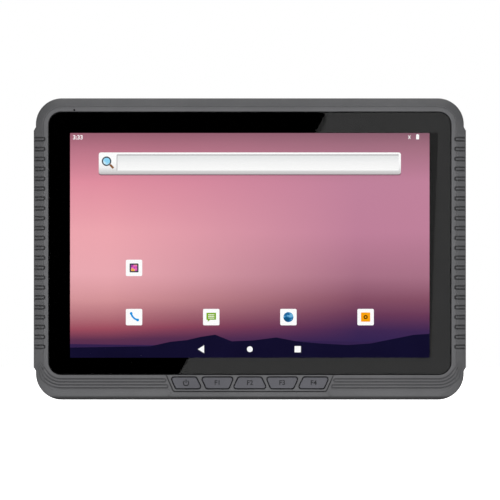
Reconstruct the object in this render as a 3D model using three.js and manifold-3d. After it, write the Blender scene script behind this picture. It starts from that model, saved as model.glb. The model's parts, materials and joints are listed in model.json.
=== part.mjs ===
// Rugged ten-inch tablet used as a field data collector.
// Millimetres. Seen by its user, X runs right, Z runs up and Y runs away through the tablet.
// The origin is under the middle of the flat bottom edge that the tablet stands on.

import * as THREE from 'three';
import { mergeVertices } from 'three/addons/utils/BufferGeometryUtils.js';
import Module from 'manifold-3d';

const wasm = await Module();
wasm.setup();

// ---------------------------------------------------------------- driving dimensions

const GAP = 0.3;                 // between neighbouring pieces
const HEIGHT = 182.1;
const HALF_WIDTH = 129.15;       // of the housing without its side grips
const GRIP_BULGE = 1.45;         // how far a side grip stands out
const CORNER_RADIUS = 15.75;
const MID_Z = HEIGHT / 2;

// Depths, from the front face to the pads on the back
const FRONT_Y = -12.5;
const PARTING_Y = -4;
const BACK_Y = 10;
const PAD_Y = 12.5;
const SHELL = 3.6;               // side wall of both shells
const BEZEL_INNER_Y = -8.6;      // back of the bezel's front wall
const BACK_INNER_Y = 7.6;        // front of the rear cover's back wall

// Chamfers round the housing: size in the outline, and depth
const FRONT_CHAMFER = [3.9, 4.6];
const REAR_CHAMFER = [3, 2.5];

// Side grips
const GRIP_HALF_LENGTH = 71.5;
const GRIP_RUNOUT = 2.2;
const GRIP_FRONT_CHAMFER = [5.3, 6.2];
const GRIP_REAR_CHAMFER = [4.3, 3.4];
const SLOT_COUNT = 22;
const SLOT_PITCH = 5.97;
const SLOT_WIDTH = 2.9;
const SLOT_DEPTH = 0.8;
const SLOT_INNER_X = 123.3;
const SLOT_CORNER = 0.9;         // cut off a slot's inner end
const TOP_SLOT_Z = MID_Z + 66.3;

// Cover glass and display stack
const GLASS = { halfWidth: 121.4, low: MID_Z - 75.7, high: MID_Z + 82.7, radius: 7.5 };
const GLASS_Y = [-12.3, -11.1];
const LEDGE_Y = -10.1;
const DISPLAY_MID_Z = MID_Z + 2.2;
const PANEL_HALF = [114, 74.3];
const DISPLAY_OPENING = { halfWidth: 116, low: 18.5, high: 168.5, radius: 3 };

// Keys: [top left, top right, bottom left, bottom right] in X, along the middle of the gap round each
const KEY_TOP_Z = MID_Z - 77.15;
const KEY_BOTTOM_Z = MID_Z - 84.47;
const KEY_RADIUS = 1.5;
const POWER_EDGES = [-48.1, -32.3, -44.9, -28.7];
const F1_EDGES = [-29.7, -9.47, -26.4, -12.5];
const F2_EDGES = [-7.02, 7.02, -10.56, 10.56];

// Battery bay in the rear cover
const BATTERY = { halfWidth: 75, low: 16, high: 86, radius: 3.5 };
const BATTERY_Y = [1.3, 11.6];
const BAY_FLOOR_Y = [-0.6, 1];
const BAY_WALL = 2.1;

// Battery latches, mirrored left and right
const LATCH_X = 52;
const LATCH_TRAVEL = 4;
const KNOB_HALF_WIDTH = 10;
const KNOB_Z = [91.3, 101.3];
const TONGUE_HALF_WIDTH = 6;
const TONGUE_Y = [5, 7.2];
const TONGUE_Z = [84.3, 104];
const STEM_Z = [94, 98.3];
const SPRING_STOP_Z = 114;

// Mounting pad: four threaded inserts on a 38.05 by 30.17 rectangle
const PAD = { halfWidth: 28, low: 107, high: 155, radius: 5 };
const PAD_MID_Z = (PAD.low + PAD.high) / 2;
const INSERT_OFFSET = [38.05 / 2, 30.17 / 2];
const INSERT = { outer: 2.9, inner: 1.65, front: 7, back: 12.3 };

// Case screws
const SCREW_X = 118.8;
const SCREW_Z = [10, 64, 118, 172];

// Port door on the top edge, hinged at its rear edge
const BAY_X = [-74, -8];
const DOOR_FRONT_Y = -2.6;
const DOOR_THICKNESS = 2.2;
const HINGE = { y: 6.6, z: HEIGHT - 1.5, radius: 1.5, pin: 0.8 };
const BAY_FLOOR_Z = HEIGHT - 3.3;
const PORT_Y = 1.7;
const PORT_Z = [164.6, BAY_FLOOR_Z - 0.2];

const CAMERA = [95, 150];
const FLASH = [95, 133];
const SPEAKER = [100, 30];
const MICROPHONE = [-105.95, MID_Z + 83.9];

// ---------------------------------------------------------------- outlines, drawn in X and Z

function roundedRect(x0, z0, x1, z1, radius) {
  const shape = new THREE.Shape();
  shape.moveTo(x0 + radius, z0);
  shape.lineTo(x1 - radius, z0);
  shape.absarc(x1 - radius, z0 + radius, radius, -Math.PI / 2, 0);
  shape.lineTo(x1, z1 - radius);
  shape.absarc(x1 - radius, z1 - radius, radius, 0, Math.PI / 2);
  shape.lineTo(x0 + radius, z1);
  shape.absarc(x0 + radius, z1 - radius, radius, Math.PI / 2, Math.PI);
  shape.lineTo(x0, z0 + radius);
  shape.absarc(x0 + radius, z0 + radius, radius, Math.PI, Math.PI * 1.5);
  return shape;
}

// A panel's outline, grown outwards by `grow`
function panelOutline(panel, grow = 0) {
  const { halfWidth, low, high, radius } = panel;
  return roundedRect(-halfWidth - grow, low - grow, halfWidth + grow, high + grow, radius + grow);
}

function housingOutline(inset) {
  return panelOutline({ halfWidth: HALF_WIDTH, low: 0, high: HEIGHT, radius: CORNER_RADIUS }, -inset);
}

function circle(radius, x = 0, z = 0) {
  const shape = new THREE.Shape();
  shape.absarc(x, z, radius, 0, Math.PI * 2);
  return shape;
}

function polygon(points) {
  return new THREE.Shape(points.map(([x, z]) => new THREE.Vector2(x, z)));
}

// Moves each edge of a convex anticlockwise polygon outwards by `distance`
function offsetPolygon(points, distance) {
  const lines = points.map(([x, z], i) => {
    const [nextX, nextZ] = points[(i + 1) % points.length];
    const length = Math.hypot(nextX - x, nextZ - z);
    const normal = [(nextZ - z) / length, (x - nextX) / length];
    return { normal, reach: normal[0] * x + normal[1] * z + distance };
  });
  return lines.map((line, i) => {
    const before = lines[(i + lines.length - 1) % lines.length];
    const det = before.normal[0] * line.normal[1] - before.normal[1] * line.normal[0];
    const x = (before.reach * line.normal[1] - line.reach * before.normal[1]) / det;
    const z = (before.normal[0] * line.reach - line.normal[0] * before.reach) / det;
    return [x, z];
  });
}

function roundedPolygon(points, radius) {
  const shape = new THREE.Shape();
  const corners = points.map(([x, z]) => new THREE.Vector2(x, z));
  corners.forEach((corner, i) => {
    const before = corners[(i + corners.length - 1) % corners.length];
    const after = corners[(i + 1) % corners.length];
    const start = corner.clone().add(before.clone().sub(corner).setLength(radius));
    const end = corner.clone().add(after.clone().sub(corner).setLength(radius));
    if (i === 0) {
      shape.moveTo(start.x, start.y);
    } else {
      shape.lineTo(start.x, start.y);
    }
    shape.quadraticCurveTo(corner.x, corner.y, end.x, end.y);
  });
  shape.closePath();
  return shape;
}

function keyOutline(edges, grow) {
  const [topLeft, topRight, bottomLeft, bottomRight] = edges;
  const corners = [
    [bottomLeft, KEY_BOTTOM_Z],
    [bottomRight, KEY_BOTTOM_Z],
    [topRight, KEY_TOP_Z],
    [topLeft, KEY_TOP_Z],
  ];
  return roundedPolygon(offsetPolygon(corners, grow), KEY_RADIUS + grow);
}

// ---------------------------------------------------------------- solids

function solidOf(geometry) {
  const bare = geometry.clone();
  bare.deleteAttribute('normal');
  bare.deleteAttribute('uv');
  const merged = mergeVertices(bare, 1e-4);
  const corners = merged.index.array;
  const kept = [];
  for (let i = 0; i < corners.length; i += 3) {
    const [a, b, c] = [corners[i], corners[i + 1], corners[i + 2]];
    if (a !== b && b !== c && c !== a) kept.push(a, b, c);
  }
  const vertProperties = merged.attributes.position.array;
  const mesh = new wasm.Mesh({ numProp: 3, vertProperties, triVerts: Uint32Array.from(kept) });
  return new wasm.Manifold(mesh);
}

// An outline in X and Z swept from front to back, with optional chamfers at both ends
function plate(outline, frontY, backY, { chamfer = null, segments = 3 } = {}) {
  const [size, depth] = chamfer ?? [0, 0];
  const geometry = new THREE.ExtrudeGeometry(outline, {
    depth: backY - frontY - 2 * depth,
    bevelEnabled: chamfer !== null,
    bevelSize: size,
    bevelOffset: -size,
    bevelThickness: depth,
    bevelSegments: 1,
    curveSegments: segments,
  });
  geometry.rotateX(Math.PI / 2);
  geometry.translate(0, backY - depth, 0);
  return solidOf(geometry);
}

function box(x, y, z) {
  const geometry = new THREE.BoxGeometry(x[1] - x[0], y[1] - y[0], z[1] - z[0]);
  geometry.translate((x[0] + x[1]) / 2, (y[0] + y[1]) / 2, (z[0] + z[1]) / 2);
  return solidOf(geometry);
}

// A box centred on x in X
function block(x, halfWidth, y, z) {
  return box([x - halfWidth, x + halfWidth], y, z);
}

function post(radius, x, z, frontY, backY, segments = 4) {
  return plate(circle(radius, x, z), frontY, backY, { segments });
}

// A rod along X
function rod(radius, x, y, z, sides = 12) {
  const geometry = new THREE.CylinderGeometry(radius, radius, x[1] - x[0], sides);
  geometry.rotateZ(Math.PI / 2);
  geometry.translate((x[0] + x[1]) / 2, y, z);
  return solidOf(geometry);
}

// A rod along Z
function upright(radius, x, y, z, sides = 12) {
  const geometry = new THREE.CylinderGeometry(radius, radius, z[1] - z[0], sides);
  geometry.rotateX(Math.PI / 2);
  geometry.translate(x, y, (z[0] + z[1]) / 2);
  return solidOf(geometry);
}

function joined(solids) {
  return solids.reduce((all, solid) => all.add(solid));
}

function cut(solid, cutters) {
  return solid.subtract(joined(cutters));
}

function ring(outer, inner, frontY, backY) {
  return plate(outer, frontY, backY).subtract(plate(inner, frontY - 1, backY + 1));
}

function bothSides(make) {
  return [-1, 1].map(make);
}

// ---------------------------------------------------------------- scene graph

const tablet = new THREE.Group();

const FINISHES = {
  housing: { color: 0x4c4c4f, roughness: 0.75 },
  key: { color: 0x505056, roughness: 0.7 },
  glass: { color: 0x0a0a0b, roughness: 0.05 },
  display: { color: 0x8a5068, roughness: 0.3 },
  rubber: { color: 0x202022, roughness: 0.9 },
  blackPlastic: { color: 0x1b1b1d, roughness: 0.6 },
  circuit: { color: 0x14502c, roughness: 0.6 },
  flex: { color: 0xa8702a, roughness: 0.5 },
  steel: { color: 0x9a9ca0, roughness: 0.35, metalness: 1 },
  brass: { color: 0xb8923f, roughness: 0.4, metalness: 1 },
  alloy: { color: 0x8d9094, roughness: 0.5, metalness: 1 },
  ceramic: { color: 0xc9c2b0, roughness: 0.6 },
  lens: { color: 0x101418, roughness: 0.05 },
  diffuser: { color: 0xe8e4d0, roughness: 0.4 },
};

function addPiece(name, solid, finish, parent = tablet) {
  const { vertProperties, triVerts } = solid.getMesh();
  const geometry = new THREE.BufferGeometry();
  geometry.setAttribute('position', new THREE.BufferAttribute(vertProperties, 3));
  geometry.setIndex(new THREE.BufferAttribute(triVerts, 1));
  geometry.computeVertexNormals();
  const mesh = new THREE.Mesh(geometry, new THREE.MeshStandardMaterial(FINISHES[finish]));
  mesh.name = name;
  parent.add(mesh);
  return mesh;
}

// ---------------------------------------------------------------- housing

function gripBulge(side) {
  const outerX = HALF_WIDTH + GRIP_BULGE;
  const baseX = HALF_WIDTH - 0.01;
  const rootX = HALF_WIDTH - 10;
  const [frontSize, frontDepth] = GRIP_FRONT_CHAMFER;
  const [rearSize, rearDepth] = GRIP_REAR_CHAMFER;
  const section = polygon([
    [rootX, FRONT_Y],
    [outerX - frontSize, FRONT_Y],
    [outerX, FRONT_Y + frontDepth],
    [outerX, BACK_Y - rearDepth],
    [outerX - rearSize, BACK_Y],
    [rootX, BACK_Y],
  ]);
  const prism = new THREE.ExtrudeGeometry(section, { depth: HEIGHT, bevelEnabled: false });
  const half = GRIP_HALF_LENGTH;
  const outline = polygon([
    [rootX - 1, MID_Z - half - GRIP_RUNOUT],
    [baseX, MID_Z - half - GRIP_RUNOUT],
    [outerX, MID_Z - half],
    [outerX, MID_Z + half],
    [baseX, MID_Z + half + GRIP_RUNOUT],
    [rootX - 1, MID_Z + half + GRIP_RUNOUT],
  ]);
  const bulge = solidOf(prism).intersect(plate(outline, FRONT_Y - 1, BACK_Y + 1));
  return side > 0 ? bulge : bulge.mirror([1, 0, 0]);
}

function housingBlank(chamfer) {
  const body = plate(housingOutline(0), FRONT_Y, BACK_Y, { chamfer });
  return joined([body, ...bothSides(gripBulge)]);
}

// Slots across both side grips' front and rear chamfers, which run out before the widest line between them
function gripSlots() {
  const outerX = HALF_WIDTH + GRIP_BULGE + 1;
  const inner = SLOT_INNER_X + SLOT_CORNER;
  const half = SLOT_WIDTH / 2;
  const slots = [];
  for (let i = 0; i < SLOT_COUNT; i += 1) {
    const z = TOP_SLOT_Z - i * SLOT_PITCH;
    slots.push(plate(polygon([
      [outerX, z - half],
      [outerX, z + half],
      [inner, z + half],
      [SLOT_INNER_X, z + half - SLOT_CORNER],
      [SLOT_INNER_X, z - half + SLOT_CORNER],
      [inner, z - half],
    ]), FRONT_Y - 1, BACK_Y + 1));
  }
  const spaces = slotSpace(FRONT_Y, 1, GRIP_FRONT_CHAMFER).add(slotSpace(BACK_Y, -1, GRIP_REAR_CHAMFER));
  const cutters = joined(slots).intersect(spaces);
  return cutters.add(cutters.mirror([1, 0, 0]));
}

// The space above the slots' floor along one face; inward is 1 on the front and -1 on the back
function slotSpace(faceY, inward, [size, depth]) {
  const outerX = HALF_WIDTH + GRIP_BULGE;
  const floorY = faceY + inward * SLOT_DEPTH;
  const startX = outerX - SLOT_DEPTH - size;
  const endX = outerX + 2;
  const section = polygon([
    [SLOT_INNER_X - 1, faceY - 2 * inward],
    [SLOT_INNER_X - 1, floorY],
    [startX, floorY],
    [endX, floorY + inward * (endX - startX) * depth / size],
    [endX, faceY - 2 * inward],
  ]);
  return solidOf(new THREE.ExtrudeGeometry(section, { depth: HEIGHT, bevelEnabled: false }));
}

// The housing's outside with its grip slots, cut to a stretch of its depth
function housingShell(chamfer, frontY, backY) {
  const reach = HALF_WIDTH + 10;
  const stretch = box([-reach, reach], [frontY, backY], [-1, HEIGHT + 1]);
  return housingBlank(chamfer).subtract(gripSlots()).intersect(stretch);
}

function screwPlaces() {
  return bothSides((side) => SCREW_Z.map((z) => [side * SCREW_X, z])).flat();
}

const KEYS = {
  power_key: POWER_EDGES,
  f1_key: F1_EDGES,
  f2_key: F2_EDGES,
  f3_key: mirroredEdges(F1_EDGES),
  f4_key: mirroredEdges(POWER_EDGES),
};

function mirroredEdges([topLeft, topRight, bottomLeft, bottomRight]) {
  return [-topRight, -topLeft, -bottomRight, -bottomLeft];
}

function frontBezel() {
  const shell = housingShell(FRONT_CHAMFER, FRONT_Y - 1, PARTING_Y);
  const [micX, micZ] = MICROPHONE;
  const hollow = cut(shell, [
    plate(panelOutline(GLASS, GAP), FRONT_Y - 1, LEDGE_Y),
    plate(panelOutline(DISPLAY_OPENING), FRONT_Y - 1, BEZEL_INNER_Y + 1),
    plate(housingOutline(SHELL), BEZEL_INNER_Y, PARTING_Y + 1),
    post(0.55, micX, micZ, FRONT_Y - 1, BEZEL_INNER_Y + 1, 4),
    ...Object.values(KEYS).map((edges) => plate(keyOutline(edges, GAP), FRONT_Y - 1, BEZEL_INNER_Y + 1)),
  ]);
  const bosses = screwPlaces().map(([x, z]) => post(3.6, x, z, BEZEL_INNER_Y - 0.1, PARTING_Y));
  const holes = screwPlaces().map(([x, z]) => post(1.75, x, z, -7.5, PARTING_Y + 1));
  return cut(joined([hollow, ...bosses]), holes);
}

function speakerGrille(side) {
  const [x, z] = SPEAKER;
  return [-2, -1, 0, 1, 2].map((row) => {
    const slotZ = z + row * 3;
    return block(side * x, 8, [BACK_INNER_Y - 1, BACK_Y + 1], [slotZ - 0.7, slotZ + 0.7]);
  });
}

function insertPlaces() {
  const [dx, dz] = INSERT_OFFSET;
  return [[-dx, PAD_MID_Z - dz], [dx, PAD_MID_Z - dz], [-dx, PAD_MID_Z + dz], [dx, PAD_MID_Z + dz]];
}

// Openings for one battery latch: the knob's recess, the stem's slot and the tongue's slot
function latchOpenings(side) {
  const x = side * LATCH_X;
  const knobTop = KNOB_Z[1] + LATCH_TRAVEL + GAP;
  const bayTop = [BATTERY.high - 1, BATTERY.high + BAY_WALL + 1];
  return [
    block(x, KNOB_HALF_WIDTH + GAP, [BACK_Y - 1.6, BACK_Y + 1], [KNOB_Z[0] - GAP, knobTop]),
    block(x, 2.3, [BACK_INNER_Y - 1, BACK_Y], [STEM_Z[0] - GAP, STEM_Z[1] + LATCH_TRAVEL + GAP]),
    block(x, TONGUE_HALF_WIDTH + GAP, [TONGUE_Y[0] - GAP, TONGUE_Y[1] + GAP], bayTop),
  ];
}

function cornerPads() {
  return bothSides((side) => [11, HEIGHT - 11].map((z) => {
    const shape = roundedRect(side * 98 - 12, z - 4, side * 98 + 12, z + 4, 3);
    return plate(shape, BACK_Y - 0.5, PAD_Y, { chamfer: [0.8, 0.8], segments: 1 });
  })).flat();
}

// Sockets along the port bay: name, middle in X, half width and half thickness
const PORTS = {
  dc_jack: [-67, 4.1, 4.1],
  usb_a_port: [-53.5, 6.6, 2.9],
  card_reader: [-37.5, 6.6, 1.3],
  usb_c_port: [-24, 4.5, 1.65],
  audio_jack: [-14, 3.1, 3.1],
};

function rearCover() {
  const shell = housingShell(REAR_CHAMFER, PARTING_Y + GAP, BACK_Y + 1);
  const hollow = cut(shell, [plate(housingOutline(SHELL), PARTING_Y - 1, BACK_INNER_Y)]);
  const places = screwPlaces();
  const solid = joined([
    hollow,
    plate(panelOutline(BATTERY, BAY_WALL + GAP), BAY_FLOOR_Y[0], BACK_INNER_Y + 1),
    plate(panelOutline(PAD), BACK_Y - 0.5, PAD_Y, { chamfer: [1, 1] }),
    ...cornerPads(),
    box([BAY_X[0] - 2, BAY_X[1] + 2], [PARTING_Y + GAP, BACK_INNER_Y + 1], [172, HEIGHT - 1]),
    ...places.map(([x, z]) => post(4.5, x, z, PARTING_Y + GAP, BACK_INNER_Y + 0.5)),
    ...insertPlaces().map(([x, z]) => post(4.6, x, z, 5.2, BACK_Y)),
    ...bothSides((side) => block(side * LATCH_X, 4, [4.4, BACK_Y - 1], [SPRING_STOP_Z, SPRING_STOP_Z + 2])),
  ]);
  const pin = HINGE.pin + GAP;
  return cut(solid, [
    plate(panelOutline(BATTERY, GAP), BAY_FLOOR_Y[1], PAD_Y + 1),
    block(0, 12.3, [BAY_FLOOR_Y[0] - 1, BAY_FLOOR_Y[1] + 1], [76.7, 82.3]),
    ring(housingOutline(1), housingOutline(2.6), PARTING_Y, PARTING_Y + 1.5),
    ...places.map(([x, z]) => post(1.75, x, z, PARTING_Y - 1, BACK_INNER_Y)),
    ...places.map(([x, z]) => post(3.3, x, z, 6.6, BACK_Y + 1, 5)),
    ...insertPlaces().map(([x, z]) => post(INSERT.outer + GAP, x, z, INSERT.front - GAP, PAD_Y + 1)),
    box([BAY_X[0] - GAP, BAY_X[1] + GAP], [DOOR_FRONT_Y - GAP, BACK_Y + 1], [BAY_FLOOR_Z, HEIGHT + 1]),
    rod(pin, [BAY_X[0] - 3.3, BAY_X[1] + 3.3], HINGE.y, HINGE.z, 8),
    ...Object.values(PORTS).map((port) => portSlot(port)),
    post(6.3, ...CAMERA, BACK_Y - 1.8, BACK_Y + 1, 6),
    post(4.8, ...CAMERA, BACK_INNER_Y - 1, BACK_Y),
    post(3.3, ...FLASH, BACK_Y - 1.5, BACK_Y + 1),
    post(2, ...FLASH, BACK_INNER_Y - 1, BACK_Y),
    block(0, 17.3, [BACK_INNER_Y - 1, BACK_Y + 1], [4.6, 11]),
    ...bothSides(speakerGrille).flat(),
    ...bothSides(latchOpenings).flat(),
  ]);
}

function portSlot([x, halfWidth, halfThickness]) {
  const y = [PORT_Y - halfThickness - GAP, PORT_Y + halfThickness + GAP];
  return block(x, halfWidth + GAP, y, [170, BAY_FLOOR_Z + 1]);
}

addPiece('front_bezel', frontBezel(), 'housing');
addPiece('rear_cover', rearCover(), 'housing');
addPiece('case_seal', ring(housingOutline(1.3), housingOutline(2.3), -3.7, -2.8), 'rubber');

function caseScrew() {
  const head = post(3, 0, 0, 6.9, 9.6, 5);
  const socket = post(1.5, 0, 0, 8.2, 11, 3);
  return joined([head, post(1.45, 0, 0, -7.2, 7.5, 4)]).subtract(socket);
}

screwPlaces().forEach(([x, z], i) => {
  const screw = addPiece(`case_screw_${i + 1}`, caseScrew(), 'steel');
  screw.position.set(x, 0, z);
});

insertPlaces().forEach(([x, z], i) => {
  const tube = ring(circle(INSERT.outer), circle(INSERT.inner), INSERT.front, INSERT.back);
  const insert = addPiece(`mount_insert_${i + 1}`, tube, 'brass');
  insert.position.set(x, 0, z);
});

// ---------------------------------------------------------------- display stack

function panel(grow, y) {
  const [halfWidth, halfHeight] = PANEL_HALF;
  const low = DISPLAY_MID_Z - halfHeight;
  return plate(panelOutline({ halfWidth, low, high: low + 2 * halfHeight, radius: 2 }, grow), ...y);
}

function displayStack() {
  addPiece('cover_glass', plate(panelOutline(GLASS), ...GLASS_Y, { chamfer: [0.3, 0.3] }), 'glass');
  addPiece('glass_gasket', ring(panelOutline(GLASS, -0.5), panelOutline(GLASS, -2.8), -10.8, -10.4), 'rubber');
  addPiece('lcd_panel', panel(0, [-10.7, -9.5]), 'display');
  addPiece('backlight_unit', panel(-0.3, [-9.2, -7.3]), 'alloy');
  const frame = panel(-0.5, [-7, -6]);
  addPiece('mid_frame', cut(frame, [block(0, 12, [-8, -5], [100, 103])]), 'alloy');
}

displayStack();

// ---------------------------------------------------------------- boards and inner pieces

function openCan(x, z, size, y) {
  const outer = block(x, size / 2, y, [z - size / 2, z + size / 2]);
  const inner = block(x, size / 2 - 0.5, [y[0] - 1, y[1] - 0.5], [z - size / 2 + 0.5, z + size / 2 - 0.5]);
  return outer.subtract(inner);
}

function boards() {
  const mainOutline = roundedRect(-104, 90, 104, 164, 3);
  addPiece('main_board', plate(mainOutline, -5.2, -4, { segments: 1 }), 'circuit');
  addPiece('processor_shield', openCan(-22, 128, 38, [-3.7, -1.5]), 'steel');
  addPiece('radio_shield', openCan(40, 132, 28, [-3.7, -1.5]), 'steel');
  addPiece('battery_connector', block(0, 12, [-3.6, 0.9], [77, 82]), 'blackPlastic');
  addPiece('key_board', block(0, 51, [-5.3, -4.3], [4.6, 16.4]), 'circuit');
  addPiece('keypad_flex', block(35, 5, [-5.1, -4.8], [16.7, 89.7]), 'flex');
  const keyMiddle = (KEY_TOP_Z + KEY_BOTTOM_Z) / 2;
  const domes = Object.values(KEYS).map((edges) => {
    const x = edges.reduce((sum, edge) => sum + edge, 0) / edges.length;
    return block(x, 4, [-6.4, -5.7], [keyMiddle - 2, keyMiddle + 2]);
  });
  addPiece('keypad_mat', joined([block(0, 50, [-5.9, -5.6], [4.9, 15.2]), ...domes]), 'rubber');
}

function soundAndRadio() {
  const [speakerX, speakerZ] = SPEAKER;
  addPiece('speaker_left', block(-speakerX, 10, [1.8, 7], [speakerZ - 8, speakerZ + 8]), 'blackPlastic');
  addPiece('speaker_right', block(speakerX, 10, [1.8, 7], [speakerZ - 8, speakerZ + 8]), 'blackPlastic');
  const [micX, micZ] = MICROPHONE;
  addPiece('microphone', block(micX, 1.9, [-8.3, -7.2], [micZ - 1.4, micZ + 1.4]), 'steel');
  addPiece('gnss_antenna', block(-88, 9, [-3.7, 0.3], [136, 154]), 'ceramic');
  addPiece('wlan_antenna', block(60, 20, [2, 2.4], [169.5, 177.5]), 'flex');
  addPiece('lte_antenna', box([124.5, 124.9], [-2, 5], [70, 112]), 'flex');
}

function cameraAndFlash() {
  const [x, z] = CAMERA;
  const module = joined([block(x, 4.5, [-1, 4], [z - 4.5, z + 4.5]), post(3.6, x, z, 3.5, 8)]);
  addPiece('camera_module', module, 'blackPlastic');
  addPiece('camera_window', post(6, x, z, BACK_Y - 1.5, BACK_Y - 0.3, 6), 'lens');
  addPiece('flash_window', post(3, ...FLASH, BACK_Y - 1.2, BACK_Y - 0.3), 'diffuser');
}

boards();
soundAndRadio();
cameraAndFlash();
addPiece('dock_contact_block', block(0, 17, [7, BACK_Y - 0.2], [4.9, 10.7]), 'blackPlastic');

// ---------------------------------------------------------------- sockets under the port door

function usbAPort([x, halfWidth, halfThickness]) {
  const y = (inset) => [PORT_Y - halfThickness + inset, PORT_Y + halfThickness - inset];
  const shell = block(x, halfWidth, y(0), PORT_Z);
  const mouth = block(x, halfWidth - 0.4, y(0.4), [PORT_Z[1] - 9, PORT_Z[1] + 1]);
  const tongue = block(x, halfWidth - 1, [PORT_Y - 1.6, PORT_Y + 0.2], [PORT_Z[1] - 10, PORT_Z[1] - 0.8]);
  return shell.subtract(mouth).add(tongue);
}

function usbCPort([x, halfWidth, halfThickness]) {
  const oval = (inset, radius) => roundedRect(
    x - halfWidth + inset, PORT_Y - halfThickness + inset,
    x + halfWidth - inset, PORT_Y + halfThickness - inset, radius);
  const shell = sweepUp(oval(0, 1.6), PORT_Z);
  const mouth = sweepUp(oval(0.35, 1.25), [PORT_Z[1] - 6, PORT_Z[1] + 1]);
  const tongue = block(x, 3.3, [PORT_Y - 0.35, PORT_Y + 0.35], [PORT_Z[1] - 7, PORT_Z[1] - 0.5]);
  return shell.subtract(mouth).add(tongue);
}

// An outline drawn in X and Y, swept up from z[0] to z[1]
function sweepUp(outline, z) {
  const geometry = new THREE.ExtrudeGeometry(outline, {
    depth: z[1] - z[0],
    bevelEnabled: false,
    curveSegments: 2,
  });
  geometry.translate(0, 0, z[0]);
  return solidOf(geometry);
}

function roundJack([x, halfWidth], bore, pin) {
  const shell = upright(halfWidth, x, PORT_Y, PORT_Z, 16);
  const mouth = upright(bore, x, PORT_Y, [PORT_Z[1] - 10, PORT_Z[1] + 1]);
  const open = shell.subtract(mouth);
  return pin > 0 ? open.add(upright(pin, x, PORT_Y, [PORT_Z[1] - 11, PORT_Z[1] - 1], 8)) : open;
}

function cardReader([x, halfWidth, halfThickness]) {
  const shell = block(x, halfWidth, [PORT_Y - halfThickness, PORT_Y + halfThickness], PORT_Z);
  return shell.subtract(block(x, 5.6, [PORT_Y - 0.6, PORT_Y + 0.6], [PORT_Z[1] - 11, PORT_Z[1] + 1]));
}

addPiece('usb_a_port', usbAPort(PORTS.usb_a_port), 'steel');
addPiece('usb_c_port', usbCPort(PORTS.usb_c_port), 'steel');
addPiece('dc_jack', roundJack(PORTS.dc_jack, 2.8, 1), 'blackPlastic');
addPiece('audio_jack', roundJack(PORTS.audio_jack, 1.8, 0), 'blackPlastic');
addPiece('card_reader', cardReader(PORTS.card_reader), 'steel');

// ---------------------------------------------------------------- moving pieces

// Each key is a cap in its opening, with a wider flange that the bezel's wall holds back
function keyCap(edges) {
  const cap = plate(keyOutline(edges, -GAP), FRONT_Y, -8);
  return cap.add(plate(keyOutline(edges, 0.6), BEZEL_INNER_Y + GAP, -7.5));
}

Object.entries(KEYS).forEach(([name, edges]) => addPiece(name, keyCap(edges), 'key'));

function batteryPack() {
  const pack = plate(panelOutline(BATTERY), ...BATTERY_Y, { chamfer: [1, 1] });
  const notches = bothSides((side) => block(side * LATCH_X, TONGUE_HALF_WIDTH + 0.6,
    [TONGUE_Y[0] - 0.5, TONGUE_Y[1] + 0.5], [TONGUE_Z[0] - 0.4, BATTERY.high + 1]));
  return cut(pack, [...notches, block(0, 10, [0, 3], [77.5, 81.5])]);
}

function batteryLatch(side) {
  const x = side * LATCH_X;
  const knob = block(x, KNOB_HALF_WIDTH, [BACK_Y - 1.3, BACK_Y + 0.6], KNOB_Z);
  const ribs = [0, 1, 2, 3].map((i) => {
    const z = KNOB_Z[0] + 2 + i * 2;
    return block(x, KNOB_HALF_WIDTH - 1.5, [BACK_Y, BACK_Y + 1.2], [z - 0.4, z + 0.4]);
  });
  const stem = block(x, 2, [TONGUE_Y[1] - 0.5, BACK_Y - 1], STEM_Z);
  return joined([knob, ...ribs, stem, block(x, TONGUE_HALF_WIDTH, TONGUE_Y, TONGUE_Z)]);
}

// A helix along Z between the latch's tongue and its stop
class SpringCurve extends THREE.Curve {
  constructor(x, turns, radius) {
    super();
    this.x = x;
    this.turns = turns;
    this.radius = radius;
  }

  getPoint(t, target = new THREE.Vector3()) {
    const angle = t * this.turns * Math.PI * 2;
    const low = TONGUE_Z[1] + 0.5;
    const high = SPRING_STOP_Z - 0.6;
    const y = (TONGUE_Y[0] + TONGUE_Y[1]) / 2 + this.radius * Math.sin(angle);
    return target.set(this.x + this.radius * Math.cos(angle), y, low + t * (high - low));
  }
}

function latchSpring(side) {
  const turns = 4;
  const wire = new THREE.Shape();
  wire.absarc(0, 0, 0.22, 0, Math.PI * 2);
  const geometry = new THREE.ExtrudeGeometry(wire, {
    steps: turns * 9,
    curveSegments: 2,
    bevelEnabled: false,
    extrudePath: new SpringCurve(side * LATCH_X, turns, 1.1),
  });
  return solidOf(geometry);
}

addPiece('battery_pack', batteryPack(), 'blackPlastic');
addPiece('battery_latch_left', batteryLatch(-1), 'blackPlastic');
addPiece('battery_latch_right', batteryLatch(1), 'blackPlastic');
addPiece('latch_spring_left', latchSpring(-1), 'steel');
addPiece('latch_spring_right', latchSpring(1), 'steel');

// The port door turns about the pin in its rear barrel
function portDoor() {
  const lid = box(BAY_X, [DOOR_FRONT_Y, HINGE.y], [HEIGHT - DOOR_THICKNESS, HEIGHT]);
  const barrel = rod(HINGE.radius, BAY_X, HINGE.y, HINGE.z);
  const bore = rod(HINGE.pin + GAP, [BAY_X[0] - 1, BAY_X[1] + 1], HINGE.y, HINGE.z, 8);
  const middle = (BAY_X[0] + BAY_X[1]) / 2;
  const nailNotch = block(middle, 7, [DOOR_FRONT_Y - 1, DOOR_FRONT_Y + 1], [HEIGHT - 0.9, HEIGHT + 1]);
  return cut(lid.add(barrel), [bore, nailNotch]);
}

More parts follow.
